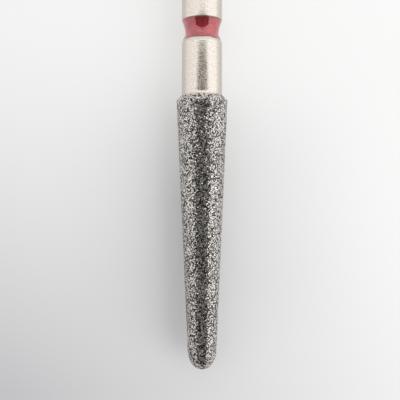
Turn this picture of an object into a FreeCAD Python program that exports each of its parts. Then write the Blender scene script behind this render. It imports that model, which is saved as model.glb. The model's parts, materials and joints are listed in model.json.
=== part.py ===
"""Round-ended tapered diamond bur with a friction-grip shank, 25 mm long, lying on its side.

A steel blank is turned in one piece: shank, marking groove, neck and the tapered core of the head.
The core carries a plated layer of diamond grit, and the groove carries a ring of coloured lacquer.
Each piece is a profile turned about the bur's axis. In a profile, u runs along that axis from the
shank's end to the tip, r is the distance from it, and a slope is the angle between the surface's
outward normal and the r direction, positive towards the tip.
"""

import FreeCAD, Part
import math
import os

# Driving dimensions, in millimetres and degrees.
shank_dia = 1.60            # shank and neck
grip_length = 11.17         # from the shank's end to the marking groove
end_chamfer = 0.20          # at 45 degrees, round the shank's end
groove_width = 0.93         # marking groove, along the axis
groove_depth = 0.16         # of its flat floor; its wall on the shank's side stands at 45 degrees
groove_rise = 25.0          # of its side towards the neck, to the axis
groove_round = 0.50         # radius between the floor and that side
neck_round = 0.60           # radius where that side meets the neck
neck_length = 2.07          # from the groove to the head's shoulder
head_dia = 2.02             # over the grit, at the shoulder
head_length = 10.82         # over the grit, from the start of the shoulder to the tip
flank_angle = 2.56          # of the head's flank to the axis
shoulder_angle = 45.0       # of the shoulder's bevel to the axis
shoulder_round = 0.12       # radius between the bevel and the flank, over the grit
tip_side_round = 0.87       # radius where the tip leaves the flank, over the grit
tip_nose_round = 0.46       # radius at the very tip, over the grit
grit_thickness = 0.08       # plated layer, all over the head
lacquer_below_edge = 0.03   # from the groove's edge down its wall to the lacquer
lacquer_width = 0.81        # along the axis, from the groove's edge to the end of the lacquer
lip_angle = 60.0            # of the lacquer's lip against the wall, to the axis
lip_round = 0.012           # radius at the top of the lip
bead_run = 0.172            # along the axis, from the groove's edge to where the bead's two sides meet
bead_below_shank = 0.0245   # from the shank's surface to that place
bead_lean = 8.0             # of the bead's side next to the lip, to the axis
bead_fall = 23.0            # of its side towards the waist, to the axis
bead_round = 0.80           # radius between the bead's two sides
waist_depth = 0.1265        # from the shank's surface down to the lacquer's waist
waist_round = 0.68          # radius from the bead into the waist
film_round = 0.40           # radius from the waist into the film
film_thickness = 0.010      # of the lacquer past its waist, on the groove's side

# Places along the axis, and radii, that follow from them.
shank_r = shank_dia / 2
floor_r = shank_r - groove_depth
groove_u = grip_length
floor_u = groove_u + groove_depth
neck_u = groove_u + groove_width
rise_u = neck_u - groove_depth / math.tan(math.radians(groove_rise))
shoulder_u = neck_u + neck_length
tip_u = shoulder_u + head_length
waist_r = shank_r - waist_depth


def point(place):
    """A place (u, r) of a profile. The profiles stand upright, with the tip towards -Y."""
    u, r = place
    return FreeCAD.Vector(0, -u, r)


def off(centre, radius, slope):
    """The place on a circle about centre where its outward normal has the given slope."""
    turn = math.radians(slope)
    return centre[0] + radius * math.sin(turn), centre[1] + radius * math.cos(turn)


def reach(place, slope):
    """How far a place lies out along the normal with the given slope."""
    turn = math.radians(slope)
    return place[0] * math.sin(turn) + place[1] * math.cos(turn)


def meeting(place, slope, other_place, other_slope):
    """Where two straight stretches meet, each given by a place on it and by its slope."""
    turn = math.radians(slope)
    other_turn = math.radians(other_slope)
    own_reach = reach(place, slope)
    other_reach = reach(other_place, other_slope)
    spread = math.sin(turn - other_turn)
    u = (own_reach * math.cos(other_turn) - other_reach * math.cos(turn)) / spread
    r = (other_reach * math.sin(turn) - own_reach * math.sin(other_turn)) / spread
    return u, r


def line(start, end):
    """A straight stretch of a profile."""
    return Part.LineSegment(point(start), point(end)).toShape()


def arc(centre, radius, start_slope, end_slope):
    """A round stretch between two slopes. Its radius is negative where the surface is hollow."""
    slopes = (start_slope, (start_slope + end_slope) / 2, end_slope)
    return Part.Arc(*[point(off(centre, radius, slope)) for slope in slopes]).toShape()


def corner_centre(corner, radius, slope_before, slope_after):
    """Centre of the circle that rounds a corner between two straight stretches."""
    half_turn = math.radians((slope_after - slope_before) / 2)
    return off(corner, -radius / math.cos(half_turn), (slope_before + slope_after) / 2)


def rounded_line(places, radii):
    """Straight stretches from place to place, with each corner between them rounded.

    A round takes up at most nine tenths of what is left of the shorter of its two sides.
    """
    corners = [point(place) for place in places]
    edges = []
    here = corners[0]
    for corner, following, radius in zip(corners[1:], corners[2:], radii):
        back = (here - corner).normalize()
        onward = (following - corner).normalize()
        half_turn = (math.pi - back.getAngle(onward)) / 2
        room = 0.9 * min(corner.distanceToPoint(here), corner.distanceToPoint(following))
        tangent = min(radius * math.tan(half_turn), room)
        start = corner + back * tangent
        middle = corner + (back + onward).normalize() * tangent * math.tan(half_turn / 2)
        end = corner + onward * tangent
        edges.append(Part.LineSegment(here, start).toShape())
        edges.append(Part.Arc(start, middle, end).toShape())
        here = end
    edges.append(Part.LineSegment(here, corners[-1]).toShape())
    return edges


def turned(edges):
    """The solid that a closed profile makes when it is turned once about the axis."""
    face = Part.Face(Part.Wire(edges))
    solid = face.revolve(point((0, 0)), FreeCAD.Vector(0, -1, 0), 360)
    if solid.Volume < 0:
        solid.reverse()
    return solid


# A round stretch in the groove touches its floor and its side towards the neck, and another one
# touches that side and the neck.
groove_centre = corner_centre((rise_u, floor_r), -groove_round, 0, -groove_rise)
floor_end = off(groove_centre, -groove_round, 0)
rise_start = off(groove_centre, -groove_round, -groove_rise)
neck_centre = corner_centre((neck_u, shank_r), neck_round, -groove_rise, 0)
rise_end = off(neck_centre, neck_round, -groove_rise)
neck_start = off(neck_centre, neck_round, 0)

# The shoulder's round edge touches its bevel, which starts on the neck, and the flank.
bevel_reach = reach((shoulder_u, shank_r), -shoulder_angle)
shoulder_r = head_dia / 2 - shoulder_round
bevel_to_centre = reach((0, shoulder_r), -shoulder_angle) - bevel_reach + shoulder_round
shoulder_centre = (bevel_to_centre / math.sin(math.radians(shoulder_angle)), shoulder_r)
flank_reach = reach(shoulder_centre, flank_angle) + shoulder_round

# The tip's two circles touch each other, and the larger one touches the flank, which settles the
# slope at which they meet.
nose_centre = (tip_u - tip_nose_round, 0)
centre_gap = tip_side_round - tip_nose_round
side_reach = reach(nose_centre, flank_angle) - flank_reach + tip_side_round
join_slope = flank_angle + math.degrees(math.acos(side_reach / centre_gap))
side_centre = off(nose_centre, -centre_gap, join_slope)


def head_profile(inset):
    """The head's outline from the neck to the tip, inset by a thickness, and its two ends."""
    bevel_shift = inset / math.sin(math.radians(shoulder_angle))
    foot = (shoulder_u + bevel_shift, shank_r)
    nose = (tip_u - inset, 0)
    shoulder_radius = shoulder_round - inset
    side_radius = tip_side_round - inset
    nose_radius = tip_nose_round - inset
    bevel_end = off(shoulder_centre, shoulder_radius, -shoulder_angle)
    flank_start = off(shoulder_centre, shoulder_radius, flank_angle)
    flank_end = off(side_centre, side_radius, flank_angle)
    edges = [
        line(foot, bevel_end),
        arc(shoulder_centre, shoulder_radius, -shoulder_angle, flank_angle),
        line(flank_start, flank_end),
        arc(side_centre, side_radius, flank_angle, join_slope),
        arc(nose_centre, nose_radius, join_slope, 90),
    ]
    return edges, foot, nose


def steel_blank():
    """Shank, marking groove, neck and the head's core, turned in one piece."""
    core, core_foot, core_nose = head_profile(grit_thickness)
    end_edge = (0, shank_r - end_chamfer)
    end_corner = (end_chamfer, shank_r)
    groove_edge = (groove_u, shank_r)
    floor_start = (floor_u, floor_r)
    shank = [
        line((0, 0), end_edge),
        line(end_edge, end_corner),
        line(end_corner, groove_edge),
        line(groove_edge, floor_start),
        line(floor_start, floor_end),
        arc(groove_centre, -groove_round, 0, -groove_rise),
        line(rise_start, rise_end),
        arc(neck_centre, neck_round, -groove_rise, 0),
        line(neck_start, core_foot),
    ]
    return turned(shank + core + [line(core_nose, (0, 0))])


def diamond_coating():
    """The plated grit, a layer of even thickness over the head's core."""
    outside, foot, nose = head_profile(0)
    inside, core_foot, core_nose = head_profile(grit_thickness)
    return turned(outside + [line(nose, core_nose)] + inside[::-1] + [line(core_foot, foot)])


def on_rise(u):
    """The place on the groove's side towards the neck that is u along the axis."""
    return u, shank_r - (neck_u - u) * math.tan(math.radians(groove_rise))


def colour_ring():
    """The lacquer in the groove: a bead with a lip against the wall, a waist, and a film."""
    start = (groove_u + lacquer_below_edge, shank_r - lacquer_below_edge)
    bead = (groove_u + bead_run, shank_r - bead_below_shank)
    lip = meeting(start, -lip_angle, bead, bead_lean)
    fall_end = meeting(bead, bead_fall, (0, waist_r), 0)
    end = on_rise(groove_u + lacquer_width)
    film_end = off(end, film_thickness, -groove_rise)
    film_start = meeting((0, waist_r), 0, film_end, -groove_rise)
    outside = rounded_line([start, lip, bead, fall_end, film_start, film_end],
                           [lip_round, bead_round, waist_round, film_round])
    return turned(outside + [
        line(film_end, end),
        line(end, rise_start),
        arc(groove_centre, -groove_round, -groove_rise, 0),
        line(floor_end, (floor_u, floor_r)),
        line((floor_u, floor_r), start),
    ])


def resting_place():
    """The bur lies on its shoulder's round edge and on the corner of its shank's end.

    The line that touches both is level, and the bur's middle is over the origin.
    """
    corner = (end_chamfer, shank_r)
    run = shoulder_centre[0] - corner[0]
    rise = shoulder_centre[1] - corner[1]
    tilt = math.asin(shoulder_round / math.hypot(run, rise)) + math.atan2(rise, run)
    lift = corner[1] * math.cos(tilt) - corner[0] * math.sin(tilt)
    end_y = (shank_r - end_chamfer) * math.sin(tilt)
    tip_y = -nose_centre[0] * math.cos(tilt) - tip_nose_round
    shift = FreeCAD.Vector(0, -(end_y + tip_y) / 2, lift)
    turn = FreeCAD.Rotation(FreeCAD.Vector(1, 0, 0), -math.degrees(tilt))
    return FreeCAD.Placement(shift, turn)


pieces = {
    "steel_blank": steel_blank(),
    "diamond_coating": diamond_coating(),
    "colour_ring": colour_ring(),
}

os.makedirs("parts", exist_ok=True)
rest = resting_place()
for node, solid in pieces.items():
    solid.Placement = rest
    solid.exportStep(f"parts/{node}.step")
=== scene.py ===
"""Looks of a tapered diamond bur with a friction-grip shank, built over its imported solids.

The bur lies on a pale floor and the camera looks straight down on its head, neck and marking ring.
Every piece is a profile of places (u, r) turned about the bur's axis: u runs along the axis from the
shank's end to the tip, r is the distance from it, and a slope is the angle between the surface's
outward normal and the r direction, in degrees and positive towards the tip. Lengths are in metres.
"""

import bpy
import json
import mathutils
import numpy as np
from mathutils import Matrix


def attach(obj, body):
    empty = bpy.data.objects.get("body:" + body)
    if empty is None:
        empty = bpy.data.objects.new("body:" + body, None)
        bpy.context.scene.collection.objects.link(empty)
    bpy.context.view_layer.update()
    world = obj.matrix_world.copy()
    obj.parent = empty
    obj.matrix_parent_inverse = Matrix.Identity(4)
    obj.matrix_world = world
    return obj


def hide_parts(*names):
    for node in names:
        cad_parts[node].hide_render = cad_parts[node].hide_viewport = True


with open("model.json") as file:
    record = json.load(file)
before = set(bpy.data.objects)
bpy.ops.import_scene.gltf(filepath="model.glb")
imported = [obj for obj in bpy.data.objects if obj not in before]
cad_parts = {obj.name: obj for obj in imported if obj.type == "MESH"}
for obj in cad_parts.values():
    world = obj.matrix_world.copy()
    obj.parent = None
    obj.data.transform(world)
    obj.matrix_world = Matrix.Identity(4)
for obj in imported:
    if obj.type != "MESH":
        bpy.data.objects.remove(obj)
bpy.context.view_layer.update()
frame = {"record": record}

# Lengths along the axis and radii of the steel blank.
END_CHAMFER = 0.20e-3
GRIP_LENGTH = 11.17e-3
GROOVE_WIDTH = 0.93e-3
GROOVE_DEPTH = 0.16e-3
GROOVE_RISE = 25.0
GROOVE_ROUND = 0.50e-3
NECK_ROUND = 0.16e-3
NECK_LENGTH = 2.07e-3
SHANK_R = 0.80e-3
EDGE_ROUND = 0.010e-3

# The head, over the tips of its grains.
HEAD_LENGTH = 10.82e-3
HEAD_R = 1.01e-3
FLANK_ANGLE = 2.56
SHOULDER_ANGLE = 45.0
SHOULDER_ROUND = 0.12e-3
TIP_SIDE_ROUND = 0.87e-3
TIP_NOSE_ROUND = 0.46e-3
GRIT_THICKNESS = 0.08e-3

# The lacquer ring: a lip against the groove's wall, a bead that falls almost straight and then eases
# into a waist, and a film on the groove's rise.
LACQUER_BELOW_EDGE = 0.018e-3
LACQUER_WIDTH = 0.81e-3
LIP_ANGLE = 60.0
LIP_ROUND = 0.012e-3
BEAD_RUN = 0.172e-3
BEAD_BELOW_SHANK = 0.048e-3
BEAD_LEAN = 19.0
BEAD_FALL = 20.0
BEAD_ROUND = 0.80e-3
WAIST_DEPTH = 0.131e-3
WAIST_LEAN = 8.0
WAIST_START = 0.50e-3
WAIST_ROUND = 1.20e-3
WAIST_FOOT_ROUND = 0.15e-3
FILM_ROUND = 0.30e-3
FILM_THICKNESS = 0.010e-3
FILM_EDGE_SLOPE = 35.0

# The waves of the film's end: their height, and how far before the end they set in and are full.
FILM_WAVE = 0.020e-3
FILM_WAVE_START = 0.12e-3
FILM_WAVE_FULL = 0.02e-3

# How far the lacquer's painted edge shade, darker and browner, reaches in from the lip and from the
# film's end.
LIP_SHADE_WIDTH = 0.16e-3
FILM_SHADE_WIDTH = 0.06e-3

# The bond: how far it is sunk under the head's outline, its ripple's height and wavelengths, the hollow
# round on the neck, how far that starts above the steel, and how fast it passes into the grit.
BOND_SINK = 0.030e-3
BOND_RELIEF = 0.009e-3
BOND_RIPPLES = (0.06e-3, 0.16e-3)
BOND_FILLET_ROUND = 0.12e-3
BOND_OVER_NECK = 0.0005e-3
BOND_RUN_OUT = 0.05e-3

# Places that follow from these sizes.
GROOVE_U = GRIP_LENGTH
FLOOR_U = GROOVE_U + GROOVE_DEPTH
FLOOR_R = SHANK_R - GROOVE_DEPTH
WAIST_R = SHANK_R - WAIST_DEPTH
NECK_U = GROOVE_U + GROOVE_WIDTH
RISE_U = NECK_U - GROOVE_DEPTH / np.tan(np.radians(GROOVE_RISE))
SHOULDER_U = NECK_U + NECK_LENGTH
TIP_U = SHOULDER_U + HEAD_LENGTH

# Less than this counts as nothing, both of a length in metres and of a crystal's unit edge.
TINY = 1e-9

# The bur's axis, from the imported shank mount: it lies in the middle of the grip.
shank_mount = next(m for m in frame["record"]["mounts"] if m["name"] == "shank")
MOUNT_U = (END_CHAMFER + GRIP_LENGTH) / 2
MOUNT_MIDDLE = np.array(shank_mount["pos_m"])
TOWARDS_TIP = -np.array(shank_mount["axis"])
ACROSS = np.array([1.0, 0.0, 0.0])
UPWARDS = np.cross(TOWARDS_TIP, ACROSS)


def off(centre, radius, slope):
    """Places on a circle: centre + radius (sin slope, cos slope)."""
    turn = np.radians(slope)
    return np.stack([centre[0] + radius * np.sin(turn), centre[1] + radius * np.cos(turn)], -1)


def reach(place, slope):
    """How far a place lies out along the normal with the given slope."""
    turn = np.radians(slope)
    return place[0] * np.sin(turn) + place[1] * np.cos(turn)


def meeting(place, slope, other_place, other_slope):
    """Where two straight stretches meet: the place with the reach of each along its own slope."""
    turns = np.radians([slope, other_slope])
    reaches = [reach(place, slope), reach(other_place, other_slope)]
    return np.linalg.solve(np.stack([np.sin(turns), np.cos(turns)], -1), reaches)


def arc(centre, radius, start_slope, end_slope, count=9):
    """Places along a round stretch, evenly spaced in slope. Its radius is negative where it is hollow."""
    return off(centre, radius, np.linspace(start_slope, end_slope, count))


def corner_centre(corner, radius, slope_before, slope_after):
    """Centre of the circle that rounds a corner: it lies radius / cos(half the turn) inside it."""
    half_turn = np.radians((slope_after - slope_before) / 2)
    return off(corner, -radius / np.cos(half_turn), (slope_before + slope_after) / 2)


def rounded(corner, radius, slope_before, slope_after, count=7):
    """A corner's places after it is rounded with a circle that touches both stretches."""
    centre = corner_centre(corner, radius, slope_before, slope_after)
    return arc(centre, radius, slope_before, slope_after, count)


def ramp(value, start, end):
    """(value - start) / (end - start), held at 0 before the start and at 1 past the end."""
    return np.clip((value - start) / (end - start), 0, 1)


def filled(places, step):
    """The same profile with each stretch between neighbours cut evenly into parts of step or less."""
    stretch = np.hypot(*np.diff(places, axis=0).T)
    parts = np.maximum(1, np.ceil(stretch / step)).astype(int)
    first = np.repeat(np.arange(len(parts)), parts)
    share = (np.arange(parts.sum()) - np.repeat(np.cumsum(parts) - parts, parts)) / parts[first]
    between = places[first] + share[:, None] * (places[first + 1] - places[first])
    return np.vstack([between, places[-1:]])


def slopes_of(places):
    """The slope at each place of a profile that runs towards the tip, from its neighbours."""
    along = np.gradient(places, axis=0)
    return np.degrees(np.arctan2(-along[:, 1], along[:, 0]))


def on_bur(u, r, angle):
    """Points in the frame: the axis at u, plus r (cos angle up + sin angle across)."""
    u, r, angle = (np.asarray(value, float)[..., None] for value in (u, r, angle))
    axis_point = MOUNT_MIDDLE + (u - MOUNT_U) * TOWARDS_TIP
    return axis_point + r * (np.cos(angle) * UPWARDS + np.sin(angle) * ACROSS)


def normal_on_bur(slope, angle):
    """Outward normals: sin slope towards the tip, cos slope away from the axis."""
    slope, angle = np.radians(slope)[..., None], np.asarray(angle, float)[..., None]
    radial = np.cos(angle) * UPWARDS + np.sin(angle) * ACROSS
    return np.sin(slope) * TOWARDS_TIP + np.cos(slope) * radial


def ring_angles(columns):
    """One turn of angles, without its end, as a row."""
    return np.linspace(0, 2 * np.pi, columns, endpoint=False)[None, :]


def ripple(points, shortest, longest, seed, count):
    """Sum of plane waves sin(k.p + phase) with random directions and wavelengths, about -1 to 1."""
    random = np.random.default_rng(seed)
    direction = random.normal(size=(count, 3))
    direction /= np.linalg.norm(direction, axis=1, keepdims=True)
    wavelength = np.exp(random.uniform(np.log(shortest), np.log(longest), (count, 1)))
    phase = random.uniform(0, 2 * np.pi, count)
    waves = np.sin(points @ (direction * 2 * np.pi / wavelength).T + phase)
    return waves.sum(-1) / np.sqrt(2 * count)


def new_mesh(name, points, faces, smooth):
    """A mesh from an array of points and a list of arrays of faces with equal numbers of corners."""
    mesh = bpy.data.meshes.new(name)
    corners = np.concatenate([same_sized.ravel() for same_sized in faces])
    sizes = np.concatenate([np.full(len(same_sized), same_sized.shape[1]) for same_sized in faces])
    mesh.vertices.add(len(points))
    mesh.vertices.foreach_set("co", points.astype(np.float32).ravel())
    mesh.loops.add(len(corners))
    mesh.loops.foreach_set("vertex_index", corners.astype(np.int32))
    mesh.polygons.add(len(sizes))
    mesh.polygons.foreach_set("loop_start", (np.cumsum(sizes) - sizes).astype(np.int32))
    mesh.polygons.foreach_set("use_smooth", np.full(len(sizes), smooth))
    mesh.update(calc_edges=True)
    mesh.validate()
    return mesh


def add_layer(mesh, name, domain, values):
    """Gives a mesh a named attribute with one number for each point or face."""
    layer = mesh.attributes.new(name, "FLOAT", domain)
    layer.data.foreach_set("value", np.ravel(values).astype(np.float32))


def skin(name, rings, start_pole=None, end_pole=None, joined=False):
    """A skin over rings of points, rows of a grid, in which each ring closes on itself.

    A pole closes an end row with a fan, and joined rows close the last ring onto the first one.
    """
    rows, columns = rings.shape[:2]
    index = np.arange(rows * columns).reshape(rows, columns)
    if joined:
        index = np.vstack([index, index[:1]])
    beside = np.roll(index, -1, axis=1)
    faces = [np.stack([index[:-1], index[1:], beside[1:], beside[:-1]], -1).reshape(-1, 4)]
    points = [rings.reshape(-1, 3)]
    count = rows * columns
    if start_pole is not None:
        pole = np.full(columns, count)
        faces.append(np.stack([pole, index[0], beside[0]], -1))
        points.append(np.reshape(start_pole, (1, 3)))
        count += 1
    if end_pole is not None:
        pole = np.full(columns, count)
        faces.append(np.stack([pole, beside[-1], index[-1]], -1))
        points.append(np.reshape(end_pole, (1, 3)))
    return new_mesh(name, np.vstack(points), faces, True)


def add_piece(name, mesh, material, slot, *nodes):
    """Puts a mesh in the scene as a piece that rides on the one body and stands for CAD nodes."""
    piece = bpy.data.objects.new(name, mesh)
    bpy.context.scene.collection.objects.link(piece)
    mesh.materials.append(material)
    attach(piece, "root")
    if nodes:
        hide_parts(*nodes)


# Profiles
def head_arcs(inset):
    """The head's outline from the neck to the tip, inset by a thickness, as places.

    A bevel, a round shoulder edge, a straight flank, and two circles at the tip that touch.
    """
    bevel_reach = reach((SHOULDER_U, SHANK_R), -SHOULDER_ANGLE)
    centre_r = HEAD_R - SHOULDER_ROUND
    bevel_to_centre = reach((0, centre_r), -SHOULDER_ANGLE) - bevel_reach + SHOULDER_ROUND
    shoulder_centre = (bevel_to_centre / np.sin(np.radians(SHOULDER_ANGLE)), centre_r)
    flank_reach = reach(shoulder_centre, FLANK_ANGLE) + SHOULDER_ROUND
    nose_centre = (TIP_U - TIP_NOSE_ROUND, 0)
    centre_gap = TIP_SIDE_ROUND - TIP_NOSE_ROUND
    side_reach = reach(nose_centre, FLANK_ANGLE) - flank_reach + TIP_SIDE_ROUND
    join_slope = FLANK_ANGLE + np.degrees(np.arccos(side_reach / centre_gap))
    side_centre = off(nose_centre, -centre_gap, join_slope)
    return np.vstack([
        [[SHOULDER_U + inset / np.sin(np.radians(SHOULDER_ANGLE)), SHANK_R]],
        arc(shoulder_centre, SHOULDER_ROUND - inset, -SHOULDER_ANGLE, FLANK_ANGLE),
        arc(side_centre, TIP_SIDE_ROUND - inset, FLANK_ANGLE, join_slope),
        arc(nose_centre, TIP_NOSE_ROUND - inset, join_slope, 90)[1:],
    ])


def groove_floor():
    """The groove's floor and the round stretch to its rise, as places."""
    return np.vstack([[[FLOOR_U, FLOOR_R]], rounded((RISE_U, FLOOR_R), -GROOVE_ROUND, 0, -GROOVE_RISE)])


def blank_profile():
    """The whole steel blank, from the middle of the shank's end to the core's nose."""
    return np.vstack([
        [[0, 0]],
        rounded((0, SHANK_R - END_CHAMFER), EDGE_ROUND, -90, -45),
        rounded((END_CHAMFER, SHANK_R), EDGE_ROUND, -45, 0),
        rounded((GROOVE_U, SHANK_R), EDGE_ROUND, 0, 45),
        groove_floor(),
        rounded((NECK_U, SHANK_R), NECK_ROUND, -GROOVE_RISE, 0, count=13),
        head_arcs(GRIT_THICKNESS),
    ])


def on_rise(u):
    """The place on the groove's rise that is u along the axis."""
    return u, SHANK_R - (NECK_U - u) * np.tan(np.radians(GROOVE_RISE))


def lacquer_profile():
    """The lacquer's outer surface, from its edge on the groove's wall to its edge on the rise."""
    start = (GROOVE_U + LACQUER_BELOW_EDGE, SHANK_R - LACQUER_BELOW_EDGE)
    bead = (GROOVE_U + BEAD_RUN, SHANK_R - BEAD_BELOW_SHANK)
    lip = meeting(start, -LIP_ANGLE, bead, BEAD_LEAN)
    waist = (GROOVE_U + WAIST_START, WAIST_R)
    fall_end = meeting(bead, BEAD_FALL, waist, WAIST_LEAN)
    end = on_rise(GROOVE_U + LACQUER_WIDTH)
    film_end = off(end, FILM_THICKNESS, -GROOVE_RISE)
    film_start = meeting((0, WAIST_R), 0, film_end, -GROOVE_RISE)
    return np.vstack([
        [start],
        rounded(lip, LIP_ROUND, -LIP_ANGLE, BEAD_LEAN),
        rounded(bead, BEAD_ROUND, BEAD_LEAN, BEAD_FALL),
        rounded(fall_end, -WAIST_ROUND, BEAD_FALL, WAIST_LEAN, count=13),
        rounded(waist, -WAIST_FOOT_ROUND, WAIST_LEAN, 0),
        rounded(film_start, -FILM_ROUND, 0, -GROOVE_RISE),
        rounded(film_end, FILM_THICKNESS / 2, -GROOVE_RISE, FILM_EDGE_SLOPE),
        [end],
    ])


# Pieces
def steel_piece(material):
    """The turned steel blank: its profile swept round the axis."""
    columns = 256
    places = filled(blank_profile(), step=0.25e-3)
    ring_places = places[places[:, 1] > TINY]
    rings = on_bur(ring_places[:, :1], ring_places[:, 1:], ring_angles(columns))
    start_pole = on_bur(places[0, 0], 0, 0)
    end_pole = on_bur(places[-1, 0], 0, 0)
    mesh = skin("turned_blank", rings, start_pole, end_pole)
    add_piece("turned_blank", mesh, material, "steel", "steel_blank")


def waves_round(angle, seed, slowest, fastest):
    """Sum of sines of whole numbers of turns round the axis, from slowest to fastest, about -1 to 1."""
    random = np.random.default_rng(seed)
    turns = np.arange(slowest, fastest + 1)[:, None]
    phase = random.uniform(0, 2 * np.pi, (len(turns), 1))
    height = random.uniform(0.3, 1, (len(turns), 1))
    return (height * np.sin(turns * angle + phase)).sum(0) / np.sqrt((height ** 2).sum() * 2)


def lacquer_piece(material):
    """The lacquer ring: its profile swept round the axis, with an uneven end on the groove's rise.

    That end slides along the rise by a sum of waves round the axis, and the places before it follow
    less and less. Its attribute for the painted edge shade is 1 at both edges and falls to 0 a width
    away.
    """
    columns = 384
    angle = ring_angles(columns)
    outside = filled(lacquer_profile(), step=0.012e-3)
    floor = filled(groove_floor()[::-1], step=0.05e-3)
    places = np.vstack([outside, floor])
    u, r = places[:, :1], places[:, 1:]
    lip_u = GROOVE_U + LACQUER_BELOW_EDGE
    end_u = GROOVE_U + LACQUER_WIDTH
    share = ramp(u, end_u - FILM_WAVE_START, end_u - FILM_WAVE_FULL)
    share = share * (np.arange(len(places)) < len(outside))[:, None]
    slide = FILM_WAVE * share * waves_round(angle[0], seed=5, slowest=3, fastest=14)
    u = u + slide * np.cos(np.radians(GROOVE_RISE))
    r = r + slide * np.sin(np.radians(GROOVE_RISE))
    rings = on_bur(u, r, angle)
    mesh = skin("lacquer_ring", rings, joined=True)
    at_lip = ramp(places[:, 0], lip_u + LIP_SHADE_WIDTH, lip_u)
    at_end = ramp(places[:, 0], end_u - FILM_SHADE_WIDTH, end_u)
    add_layer(mesh, "lacquer_edge_shade", "POINT", np.repeat(np.maximum(at_lip, at_end), columns))
    add_piece("lacquer_ring", mesh, material, "red_lacquer", "colour_ring")


def bond_piece(material):
    """The nickel that holds the grains: the head's outline, sunk and rippled, over the steel core.

    It runs out on the neck in a smooth, hollow fillet. The attribute "smooth_plate" is 1 there and
    falls to 0 within the grit, where the ripple sets in.
    """
    columns = 256
    foot_u = SHOULDER_U + BOND_SINK / np.sin(np.radians(SHOULDER_ANGLE))
    fillet = rounded((foot_u, SHANK_R + BOND_OVER_NECK), -BOND_FILLET_ROUND, 0, -SHOULDER_ANGLE)
    outside = filled(np.vstack([fillet, head_arcs(BOND_SINK)[1:-1]]), step=0.042e-3)
    grit_share = ramp(outside[:, 0], fillet[-1, 0], fillet[-1, 0] + BOND_RUN_OUT)
    slope = slopes_of(outside)[:, None]
    angle = ring_angles(columns)
    rings = on_bur(outside[:, :1], outside[:, 1:], angle)
    waves = ripple(rings, *BOND_RIPPLES, seed=3, count=80)
    height = BOND_RELIEF * waves * grit_share[:, None]
    rings = rings + height[..., None] * normal_on_bur(slope, angle)
    inside = filled(head_arcs(GRIT_THICKNESS)[:-1], step=0.25e-3)[::-1]
    core = on_bur(inside[:, :1], inside[:, 1:], angle)
    core_pole = on_bur(TIP_U - GRIT_THICKNESS, 0, 0)
    nose_pole = on_bur(TIP_U - BOND_SINK, 0, 0)
    mesh = skin("nickel_bond", np.vstack([core, rings]), core_pole, nose_pole)
    plate = np.zeros(len(mesh.vertices))
    plate[core.size // 3:(core.size + rings.size) // 3] = np.repeat(1 - grit_share, columns)
    add_layer(mesh, "smooth_plate", "POINT", plate)
    add_piece("nickel_bond", mesh, material, "diamond_grit", "diamond_coating")


# The grains: how far apart they lie, and how far they stray from there in shares of that.
GRAIN_PITCH = 0.053e-3
GRAIN_STRAY = 0.4

# Their half-sizes, the gain of each of the three, and their height to their width.
GRAIN_SIZE = (0.033e-3, 0.051e-3)
GRAIN_STRETCH = (0.80, 1.20)
GRAIN_FLATNESS = 0.9

# Their tilt in degrees and their corners' moves in half-sizes, both as standard deviations.
GRAIN_TILT = 4.5
CORNER_STRAY = 0.05

# How far they stay under the head's outline and over the floor.
GRAIN_UNDER = (0.004e-3, 0.011e-3)
FLOOR_GAP = 0.002e-3

# Where the head is cut into three pieces, in shares of its length.
GRAIN_CUTS = (-0.1, 0.30, 0.62, 1.1)

# A facet's tone: the grain's share in it, and the middle, the gain and the power that spread it.
GRAIN_TONE = 0.8
TONE_MIDDLE = 0.46
TONE_GAIN = 2.2
TONE_POWER = 0.9

# The share of it that steep facets keep, for the grains' sides, which are nickel-coated and darker also
# by painted shade, how far outwards a facet faces where it is steep and where it has all its tone, and
# the gain on the bevel, where the slope is below a limit.
STEEP_TONE = 0.15
STEEP_FACING = 0.6
FULL_FACING = 0.9
BEVEL_SLOPE = -30.0
BEVEL_GAIN = 1.45

# Twelve corners of a cuboctahedron with edges of 1, as grown diamond often has, and a length between
# its edges and the diagonals of its square faces.
CRYSTAL_CORNERS = np.array([
    (1, 1, 0), (1, -1, 0), (-1, 1, 0), (-1, -1, 0),
    (1, 0, 1), (1, 0, -1), (-1, 0, 1), (-1, 0, -1),
    (0, 1, 1), (0, 1, -1), (0, -1, 1), (0, -1, -1),
]) / np.sqrt(2)
OVER_EDGE = 1.01


def crystal_faces():
    """The triangles of the hull of CRYSTAL_CORNERS: every three corners with none beyond their plane.

    A square face comes out four times over, so only its fan from its lowest-numbered corner is kept.
    """
    numbers = np.arange(len(CRYSTAL_CORNERS))
    triples = np.stack(np.meshgrid(numbers, numbers, numbers, indexing="ij"), -1).reshape(-1, 3)
    triples = triples[(triples[:, 0] < triples[:, 1]) & (triples[:, 0] < triples[:, 2])]
    triples = triples[triples[:, 1] != triples[:, 2]]
    one, two, three = (CRYSTAL_CORNERS[triples[:, place]] for place in range(3))
    normal = np.cross(two - one, three - one)
    height = normal @ CRYSTAL_CORNERS.T - np.sum(normal * one, -1, keepdims=True)
    on_face = np.abs(height) < TINY
    outer = (height < TINY).all(1) & (np.linalg.norm(normal, axis=1) > TINY)
    triangle = on_face.sum(1) == 3
    first = np.argmax(on_face, 1) == triples[:, 0]
    is_edge = [np.linalg.norm(start - end, axis=1) < OVER_EDGE
               for start, end in ((two, three), (one, two), (one, three))]
    fan = is_edge[0] & (is_edge[1] | is_edge[2])
    square = (on_face.sum(1) == 4) & first & fan
    return triples[outer & (triangle | square)]


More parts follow.
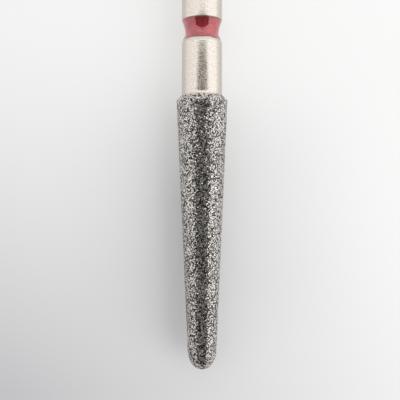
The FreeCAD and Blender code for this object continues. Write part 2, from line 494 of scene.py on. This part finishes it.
def grain_places(seed):
    """Places for grains all over the head: rings a pitch apart, with grains a pitch apart in each.

    The rings are closer by half the root of three, as in a honeycomb. Each grain strays at random,
    along the profile and round the axis, by up to a share of the pitch.
    """
    random = np.random.default_rng(seed)
    outline = filled(head_arcs(0), step=0.01e-3)
    run = np.append(0, np.cumsum(np.hypot(*np.diff(outline, axis=0).T)))
    slope = slopes_of(outline)
    ring_run = np.arange(GRAIN_PITCH / 2, run[-1], GRAIN_PITCH * np.sqrt(3) / 2)
    ring_r = np.interp(ring_run, run, outline[:, 1])
    grains = np.maximum(1, np.round(2 * np.pi * ring_r / GRAIN_PITCH)).astype(int)
    ring = np.repeat(np.arange(len(grains)), grains)
    order = np.arange(grains.sum()) - np.repeat(np.cumsum(grains) - grains, grains)
    stray = random.uniform(-GRAIN_STRAY, GRAIN_STRAY, (2, len(ring)))
    start = random.uniform(0, 1, len(grains))[ring]
    angle = 2 * np.pi * (order + start + stray[0]) / grains[ring]
    grain_run = np.clip(ring_run[ring] + stray[1] * GRAIN_PITCH, 0, run[-1])
    u, r = (np.interp(grain_run, run, outline[:, column]) for column in range(2))
    return u, r, np.interp(grain_run, run, slope), angle


def crystals(random, count):
    """Corners of loose crystals, each with its highest corner a little under its own zero.

    Each is the cuboctahedron with one square face up, scaled by three random sizes and flattened,
    its corners moved a little, spun about the upward direction and tilted by two random angles.
    """
    size = random.uniform(*GRAIN_SIZE, (count, 1, 1)) * random.uniform(*GRAIN_STRETCH, (count, 1, 3))
    size[..., 2] *= GRAIN_FLATNESS
    corners = CRYSTAL_CORNERS + random.normal(0, CORNER_STRAY, (count, len(CRYSTAL_CORNERS), 3))
    corners = corners * size
    for first, second, turn in ((0, 1, random.uniform(0, np.pi, count)),
                                (1, 2, np.radians(random.normal(0, GRAIN_TILT, count))),
                                (0, 2, np.radians(random.normal(0, GRAIN_TILT, count)))):
        cosine, sine = np.cos(turn)[:, None], np.sin(turn)[:, None]
        was_first, was_second = corners[..., first].copy(), corners[..., second].copy()
        corners[..., first] = cosine * was_first - sine * was_second
        corners[..., second] = sine * was_first + cosine * was_second
    under = random.uniform(*GRAIN_UNDER, count)
    corners[:, :, 2] -= (corners[:, :, 2].max(1) + under)[:, None]
    return corners


def facet_tones(random, corners, faces, slope):
    """Each facet's tone: ((grain's and facet's random number - middle) gain + 0.5) ^ power.

    It is held between 0 and 1, so many facets are wholly dark or bright. A facet that leans far from the
    surface, on a grain's nickel-coated side, keeps a small part of its tone as painted shade, and the
    facets on the bevel get more.
    """
    count = len(corners)
    tone = (GRAIN_TONE * random.uniform(0, 1, (count, 1))
            + (1 - GRAIN_TONE) * random.uniform(0, 1, (count, len(faces))))
    tone = np.clip((tone - TONE_MIDDLE) * TONE_GAIN + 0.5, 0, 1) ** TONE_POWER
    one, two, three = (corners[:, faces[:, place]] for place in range(3))
    facing = np.cross(two - one, three - one)
    upward = facing[..., 2] / np.linalg.norm(facing, axis=-1)
    # Painted shade: steep facets, the grains' sides, keep only a small share of their tone.
    tone = tone * (STEEP_TONE + (1 - STEEP_TONE) * ramp(upward, STEEP_FACING, FULL_FACING))
    return np.clip(tone * np.where(slope < BEVEL_SLOPE, BEVEL_GAIN, 1)[:, None], 0, 1)


def grains_mesh(name, u, r, slope, angle, seed):
    """Crystals set in the head's surface, each with its upward direction along the surface's normal.

    Each is sunk so that its highest corner lies just under the head's outline. Corners that would
    touch the floor are lifted to just above it.
    """
    random = np.random.default_rng(seed)
    corners = crystals(random, len(u))
    normal = normal_on_bur(slope, angle)
    round_axis = np.cos(angle)[:, None] * ACROSS - np.sin(angle)[:, None] * UPWARDS
    axes = np.stack([round_axis, np.cross(normal, round_axis), normal], 1)
    points = on_bur(u, r, angle)[:, None] + corners @ axes
    points[..., 2] = np.maximum(points[..., 2], FLOOR_GAP)
    faces = crystal_faces()
    stride = len(CRYSTAL_CORNERS) * np.arange(len(u))[:, None, None]
    mesh = new_mesh(name, points.reshape(-1, 3), [(faces + stride).reshape(-1, 3)], False)
    add_layer(mesh, "facet_tone", "FACE", facet_tones(random, corners, faces, slope))
    return mesh


def grain_pieces(material):
    """The diamond grains, as three pieces: on the head's shoulder, on its middle and on its tip."""
    u, r, slope, angle = grain_places(seed=11)
    cuts = SHOULDER_U + HEAD_LENGTH * np.array(GRAIN_CUTS)
    for order, part in enumerate(("upper", "middle", "lower")):
        here = (u >= cuts[order]) & (u < cuts[order + 1])
        mesh = grains_mesh(f"diamond_grains_{part}", u[here], r[here], slope[here], angle[here],
                           seed=20 + order)
        add_piece(f"diamond_grains_{part}", mesh, material, "diamond_grit")


# Materials
def node(tree, kind, **inputs):
    """Adds a shader node and sets its inputs: a value, or the output socket of another node."""
    made = tree.nodes.new(kind)
    for name, value in inputs.items():
        socket = made.inputs[name.replace("_", " ")]
        if isinstance(value, bpy.types.NodeSocket):
            tree.links.new(value, socket)
        else:
            socket.default_value = value
    return made


def blank_material(name):
    """A material with nodes, emptied, and its output node."""
    material = bpy.data.materials.new(name)
    material.use_nodes = True
    material.node_tree.nodes.clear()
    return material, material.node_tree, material.node_tree.nodes.new("ShaderNodeOutputMaterial")


def mapped(tree, value, ends, tones=(0, 1), smooth=False):
    """A value stretched so that its ends go to two tones, and held there beyond them."""
    made = node(tree, "ShaderNodeMapRange", Value=value)
    for socket, number in zip(("From Min", "From Max", "To Min", "To Max"), (*ends, *tones)):
        made.inputs[socket].default_value = number
    if smooth:
        made.interpolation_type = "SMOOTHSTEP"
    return made.outputs["Result"]


def maths(tree, operation, *values):
    """The result of a math node on numbers or on other nodes' outputs."""
    made = tree.nodes.new("ShaderNodeMath")
    made.operation = operation
    for socket, value in zip(made.inputs, values):
        if isinstance(value, bpy.types.NodeSocket):
            tree.links.new(value, socket)
        else:
            socket.default_value = value
    return made.outputs[0]


def mottle_group():
    """Node group: noise at a given size in object space, as a height and as a mask.

    The mask is the noise from 0.35 to 0.65, stretched over 0 to 1.
    """
    tree = bpy.data.node_groups.new("mottle", "ShaderNodeTree")
    for name, way in (("Size", "INPUT"), ("Detail", "INPUT"), ("Mask", "OUTPUT"), ("Height", "OUTPUT")):
        tree.interface.new_socket(name, in_out=way, socket_type="NodeSocketFloat")
    given = tree.nodes.new("NodeGroupInput")
    put_out = tree.nodes.new("NodeGroupOutput")
    place = tree.nodes.new("ShaderNodeTexCoord")
    scale = maths(tree, "DIVIDE", 1, given.outputs["Size"])
    noise = node(tree, "ShaderNodeTexNoise", Vector=place.outputs["Object"], Scale=scale,
                 Detail=given.outputs["Detail"])
    mask = mapped(tree, noise.outputs["Fac"], ends=(0.35, 0.65))
    tree.links.new(mask, put_out.inputs["Mask"])
    tree.links.new(noise.outputs["Fac"], put_out.inputs["Height"])
    return tree


def mottle(tree, group, size, detail):
    """Places the mottle group in a material with its own size and detail."""
    made = tree.nodes.new("ShaderNodeGroup")
    made.node_tree = group
    made.inputs["Size"].default_value = size
    made.inputs["Detail"].default_value = detail
    return made


def mixed(tree, mask, low, high):
    """A colour between two, by a mask. Each is three numbers or another node's output."""
    mix = tree.nodes.new("ShaderNodeMix")
    mix.data_type = "RGBA"
    tree.links.new(mask, mix.inputs["Factor"])
    for socket, colour in ((mix.inputs["A"], low), (mix.inputs["B"], high)):
        if isinstance(colour, bpy.types.NodeSocket):
            tree.links.new(colour, socket)
        else:
            socket.default_value = (*colour, 1)
    return mix.outputs["Result"]


def dimmed(tree, colour, factor):
    """A colour times a value."""
    made = tree.nodes.new("ShaderNodeVectorMath")
    made.operation = "SCALE"
    tree.links.new(colour, made.inputs[0])
    tree.links.new(factor, made.inputs["Scale"])
    return made.outputs[0]


def from_attribute(tree, name):
    """The value of a mesh's own attribute."""
    made = tree.nodes.new("ShaderNodeAttribute")
    made.attribute_name = name
    return made.outputs["Fac"]


def steel_material(group):
    """Satin, nickel-plated steel: warm grey-white, finely mottled in tone and gloss, with painted shade
    edge-on: its colour darkens towards the outline.
    """
    material, tree, output = blank_material("satin_nickel_plate")
    fine = mottle(tree, group, size=0.045e-3, detail=3)
    gloss = mottle(tree, group, size=0.06e-3, detail=2)
    colour = mixed(tree, fine.outputs["Mask"], (0.75, 0.68, 0.61), (0.93, 0.85, 0.77))
    rough = mapped(tree, gloss.outputs["Mask"], ends=(0, 1), tones=(0.09, 0.27))
    bump = node(tree, "ShaderNodeBump", Height=fine.outputs["Height"], Strength=0.5, Distance=0.004e-3)
    facing = node(tree, "ShaderNodeLayerWeight", Blend=0.5)
    # Painted shade: the colour falls to 0.74 where the steel is seen edge-on.
    painted_edge_shade = mapped(tree, facing.outputs["Facing"], ends=(0.30, 0.52), tones=(1.0, 0.74))
    shader = node(tree, "ShaderNodeBsdfPrincipled", Base_Color=dimmed(tree, colour, painted_edge_shade),
                  Roughness=rough, Metallic=1.0, Normal=bump.outputs["Normal"])
    tree.links.new(shader.outputs[0], output.inputs["Surface"])
    return material


def lacquer_material(group):
    """Clear red lacquer over bright metal: deep red where it reflects dark, pink where it shines.

    Towards its edges it has a painted shade, darker and browner, in patches.
    """
    material, tree, output = blank_material("red_lacquer")
    fine = mottle(tree, group, size=0.09e-3, detail=2)
    broad = mottle(tree, group, size=0.24e-3, detail=2)
    body = mixed(tree, fine.outputs["Mask"], (0.35, 0.028, 0.038), (0.56, 0.044, 0.058))
    # Painted shade: near both edges the lacquer's colour goes darker and browner, in broad patches.
    patches = mapped(tree, broad.outputs["Mask"], ends=(0, 1), tones=(0.35, 1.0))
    lacquer_shade = maths(tree, "MULTIPLY", from_attribute(tree, "lacquer_edge_shade"), patches)
    colour = mixed(tree, lacquer_shade, body, (0.13, 0.040, 0.036))
    bump = node(tree, "ShaderNodeBump", Height=fine.outputs["Height"], Strength=0.6, Distance=0.012e-3)
    shader = node(tree, "ShaderNodeBsdfPrincipled", Base_Color=colour, Roughness=0.15,
                  Metallic=0.56, Coat_Weight=1.0, Coat_Roughness=0.04, Coat_IOR=2.0,
                  Normal=bump.outputs["Normal"])
    tree.links.new(shader.outputs[0], output.inputs["Surface"])
    return material


def bond_material(group):
    """Plated nickel: dull between the grains, where its colour is darkened as painted shade of the
    hollows, and bright where it runs out on the neck.
    """
    material, tree, output = blank_material("plated_nickel_bond")
    fine = mottle(tree, group, size=0.04e-3, detail=3)
    plate = from_attribute(tree, "smooth_plate")
    # Painted shade: between the grains the nickel's colour is made dark, for the shade in the hollows
    # there.
    recess_shade = mixed(tree, fine.outputs["Mask"], (0.10, 0.094, 0.090), (0.26, 0.245, 0.235))
    colour = mixed(tree, plate, recess_shade, (0.80, 0.73, 0.66))
    rough = mapped(tree, plate, ends=(0, 1), tones=(0.35, 0.18))
    bump = node(tree, "ShaderNodeBump", Height=fine.outputs["Height"], Strength=0.5, Distance=0.006e-3)
    shader = node(tree, "ShaderNodeBsdfPrincipled", Base_Color=colour, Roughness=rough,
                  Metallic=1.0, Normal=bump.outputs["Normal"])
    tree.links.new(shader.outputs[0], output.inputs["Surface"])
    return material


def grain_material():
    """Grey diamond: each facet has its own tone, from dark to bright, and a sharp gloss."""
    material, tree, output = blank_material("diamond_grit")
    colour = mixed(tree, from_attribute(tree, "facet_tone"), (0.065, 0.058, 0.054), (1.0, 0.95, 0.905))
    shader = node(tree, "ShaderNodeBsdfPrincipled", Base_Color=colour, Roughness=0.10, Metallic=0.86)
    tree.links.new(shader.outputs[0], output.inputs["Surface"])
    return material


# Stage, light and camera
CAMERA_X = -0.08e-3
CAMERA_Y = -5.823e-3
CAMERA_Z = 34e-3
CAMERA_LENS = 75.0

# The lamp: the place that it faces, and the direction in which it stands from there.
LAMP_AIM = (0, -5e-3, 0)
LAMP_DIRECTION = (0.66, -0.42, 0.62)

# The floor's tones, in linear light, at the picture's corners, where those corners lie on it, and the
# power with which it darkens on the way from the far ones to the near ones: a painted shade, darkest at
# the near left.
FLOOR_FAR_LEFT = (0.900, 0.903, 0.900)
FLOOR_FAR_RIGHT = (0.940, 0.940, 0.935)
FLOOR_NEAR_LEFT = (0.540, 0.536, 0.549)
FLOOR_NEAR_RIGHT = (0.828, 0.828, 0.828)
FLOOR_X = 8e-3
FLOOR_FAR_Y = 2e-3
FLOOR_NEAR_Y = -13.6e-3
FLOOR_POWER = 1.4

# How far the floor reaches from the middle.
FLOOR_REACH = 1.5

# The broad, soft shadow round the head, painted into the floor's colour: where it sets in and is full,
# from the sides, from the far side and from the near side, and the floor's tone in it.
PAINTED_SHADOW_X = (7.5e-3, 1.5e-3)
PAINTED_SHADOW_FAR_Y = (0.0, -5e-3)
PAINTED_SHADOW_NEAR_Y = (-13.5e-3, -8e-3)
PAINTED_SHADOW_TONE = 0.92

# The share of the floor's light that is its own, at two places along Y.
OWN_LIGHT_Y = (-6e-3, 0.5e-3)
OWN_LIGHT = (0.20, 0.60)

# The two cards that only reflections see: their colour, places, sizes and tones.
FLAG_COLOUR = (1.0, 0.96, 0.90, 1)
DARK_FAR_Y = 0.15e-3
DARK_LENGTH = 40e-3
DARK_WIDTH = 6.3e-3
DARK_LIMIT = 11.4e-3
DARK_HEIGHT = 14e-3
DARK_TONE = 0.055
GREY_X = 2.0e-3
GREY_Y = (3.2e-3, 8.6e-3)
GREY_ROUND = 64.9e-3
GREY_HEIGHT = 34.5e-3
GREY_TONE_Y = (3.3e-3, 8.6e-3)
GREY_TONES = (0.17, 0.215)


def floor_material():
    """Pale and matt, with painted shade: darker towards the near left, and a little darker again beside
    the head as a painted shadow.

    To the camera and in reflections, part of its light is its own colour, so shadows stay soft.
    """
    material, tree, output = blank_material("pale_floor")
    place = tree.nodes.new("ShaderNodeTexCoord")
    parts = node(tree, "ShaderNodeSeparateXYZ", Vector=place.outputs["Object"])
    x, y = parts.outputs["X"], parts.outputs["Y"]
    # Painted shade: the floor's colour grows darker from the far right to the near left.
    across = mapped(tree, x, (-FLOOR_X, FLOOR_X))
    nearer = maths(tree, "POWER", mapped(tree, y, (FLOOR_FAR_Y, FLOOR_NEAR_Y)), FLOOR_POWER)
    far = mixed(tree, across, FLOOR_FAR_LEFT, FLOOR_FAR_RIGHT)
    near = mixed(tree, across, FLOOR_NEAR_LEFT, FLOOR_NEAR_RIGHT)
    # Painted shadow: beside the head the floor's colour is darker, down to a tone of 0.92.
    beside = mapped(tree, maths(tree, "ABSOLUTE", x), PAINTED_SHADOW_X, smooth=True)
    along = maths(tree, "MULTIPLY", mapped(tree, y, PAINTED_SHADOW_FAR_Y, smooth=True),
                  mapped(tree, y, PAINTED_SHADOW_NEAR_Y, smooth=True))
    painted_shadow = mapped(tree, maths(tree, "MULTIPLY", beside, along), ends=(0, 1), tones=(1.0, PAINTED_SHADOW_TONE))
    colour = dimmed(tree, mixed(tree, nearer, far, near), painted_shadow)
    lit = node(tree, "ShaderNodeBsdfDiffuse", Color=colour)
    own = node(tree, "ShaderNodeEmission", Color=colour)
    path = tree.nodes.new("ShaderNodeLightPath")
    seen = maths(tree, "MAXIMUM", path.outputs["Is Camera Ray"], path.outputs["Is Glossy Ray"])
    share = maths(tree, "MULTIPLY", seen, mapped(tree, y, OWN_LIGHT_Y, OWN_LIGHT))
    blend = tree.nodes.new("ShaderNodeMixShader")
    for shader, socket in ((share, 0), (lit.outputs[0], 1), (own.outputs[0], 2)):
        tree.links.new(shader, blend.inputs[socket])
    tree.links.new(blend.outputs[0], output.inputs["Surface"])
    return material


def add_stage(name, mesh, material):
    """Puts a mesh in the scene as part of the stage."""
    made = bpy.data.objects.new(name, mesh)
    bpy.context.scene.collection.objects.link(made)
    mesh.materials.append(material)
    return made


def floor_piece():
    """A wide, level square at the height on which the bur lies."""
    corners = np.array([(-1, -1, 0), (1, -1, 0), (1, 1, 0), (-1, 1, 0)]) * FLOOR_REACH
    mesh = new_mesh("floor", corners, [np.array([[0, 1, 2, 3]])], False)
    add_stage("floor", mesh, floor_material())


def flag(name, centre_x, height, y, half_width, ends, tones):
    """A flat card over the bur that only reflections see, with a half-width at each place y.

    Its tone runs along Y between two ends.
    """
    side = np.stack([half_width, y, 0 * y + height], -1)
    rim = np.vstack([side, (side * (-1, 1, 1))[::-1]]) + (centre_x, 0, 0)
    mesh = new_mesh(name, rim, [np.arange(len(rim))[None, :]], False)
    material, tree, output = blank_material(name)
    place = tree.nodes.new("ShaderNodeTexCoord")
    parts = node(tree, "ShaderNodeSeparateXYZ", Vector=place.outputs["Object"])
    shader = node(tree, "ShaderNodeEmission", Strength=mapped(tree, parts.outputs["Y"], ends, tones))
    shader.inputs["Color"].default_value = FLAG_COLOUR
    tree.links.new(shader.outputs[0], output.inputs["Surface"])
    card = add_stage(name, mesh, material)
    card.visible_camera = False
    card.visible_diffuse = False
    card.visible_shadow = False


def dark_flag():
    """A dark card, in place of the camera, that narrows to nothing over the neck.

    Its half-width is a parabola's, width (distance from its far end / 1 mm)^0.5, up to a limit.
    """
    y = DARK_FAR_Y - DARK_LENGTH * np.linspace(1, 0, 80) ** 2
    half = np.minimum(DARK_LIMIT, DARK_WIDTH * np.sqrt((DARK_FAR_Y - y) / 1e-3))
    flag("dark_flag", 0, DARK_HEIGHT, y, half, (DARK_FAR_Y - DARK_LENGTH, DARK_FAR_Y),
         (DARK_TONE, DARK_TONE))


def grey_flag():
    """A grey card above the dark one and towards the shank: the last slice of a wide circle.

    Its half-width is (radius^2 - (distance from the circle's middle)^2)^0.5.
    """
    y = np.linspace(*GREY_Y, 24)
    half = np.sqrt(GREY_ROUND ** 2 - (y - GREY_Y[1] + GREY_ROUND) ** 2)
    flag("grey_flag", GREY_X, GREY_HEIGHT, y, half, GREY_TONE_Y, GREY_TONES)


def tent():
    """The world: a white tent, brighter towards the right and the top, darker at the near and far side.

    It is darkest half-way between the zenith and the near side. Its strength is the product of five
    straight ramps: over Z, over X, over the near and the far part of Y, and over the cosine of the
    angle to that half-way direction.
    """
    world = bpy.data.worlds.new("tent")
    bpy.context.scene.world = world
    world.use_nodes = True
    tree = world.node_tree
    tree.nodes.clear()
    output = tree.nodes.new("ShaderNodeOutputWorld")
    place = tree.nodes.new("ShaderNodeTexCoord")
    parts = node(tree, "ShaderNodeSeparateXYZ", Vector=place.outputs["Generated"])
    half_way = node(tree, "ShaderNodeVectorMath")
    half_way.operation = "DOT_PRODUCT"
    tree.links.new(place.outputs["Generated"], half_way.inputs[0])
    half_way.inputs[1].default_value = (0.0, -0.71, 0.70)
    strength = mapped(tree, parts.outputs["Z"], (0, 1), (1.00, 1.10))
    for part, ends, tones in ((parts.outputs["X"], (-1, 1), (0.88, 1.12)),
                              (parts.outputs["Y"], (-1, 0), (0.45, 1.0)),
                              (parts.outputs["Y"], (0.3, 0.9), (1.0, 0.80)),
                              (half_way.outputs["Value"], (0.72, 0.90), (1.0, 0.30))):
        strength = maths(tree, "MULTIPLY", strength, mapped(tree, part, ends, tones))
    background = node(tree, "ShaderNodeBackground", Strength=strength)
    background.inputs["Color"].default_value = (1, 1, 1, 1)
    tree.links.new(background.outputs[0], output.inputs["Surface"])


def lamp(name, distance, width, energy):
    """A round lamp that faces the head from its direction, and doesn't show in reflections."""
    light = bpy.data.lights.new(name, "AREA")
    light.shape = "DISK"
    light.size = width
    light.energy = energy
    made = bpy.data.objects.new(name, light)
    bpy.context.scene.collection.objects.link(made)
    towards = np.array(LAMP_DIRECTION) / np.linalg.norm(LAMP_DIRECTION)
    made.location = LAMP_AIM + towards * distance
    made.rotation_mode = "QUATERNION"
    made.rotation_quaternion = mathutils.Vector(towards).to_track_quat("Z", "Y")
    made.visible_camera = False
    made.visible_glossy = False


def photo_camera():
    """The camera, straight above the head, with the tip towards the picture's lower edge."""
    data = bpy.data.cameras.new("camera")
    data.lens = CAMERA_LENS
    data.clip_start = 0.5e-3
    data.clip_end = 5.0
    camera = bpy.data.objects.new("camera", data)
    bpy.context.scene.collection.objects.link(camera)
    camera.location = (CAMERA_X, CAMERA_Y, CAMERA_Z)
    bpy.context.scene.camera = camera


mottle_nodes = mottle_group()
steel_piece(steel_material(mottle_nodes))
lacquer_piece(lacquer_material(mottle_nodes))
bond_piece(bond_material(mottle_nodes))
grain_pieces(grain_material())
floor_piece()
dark_flag()
grey_flag()
tent()
lamp("key_lamp", distance=130e-3, width=100e-3, energy=0.076)
photo_camera()
bpy.context.scene.view_settings.view_transform = "Standard"
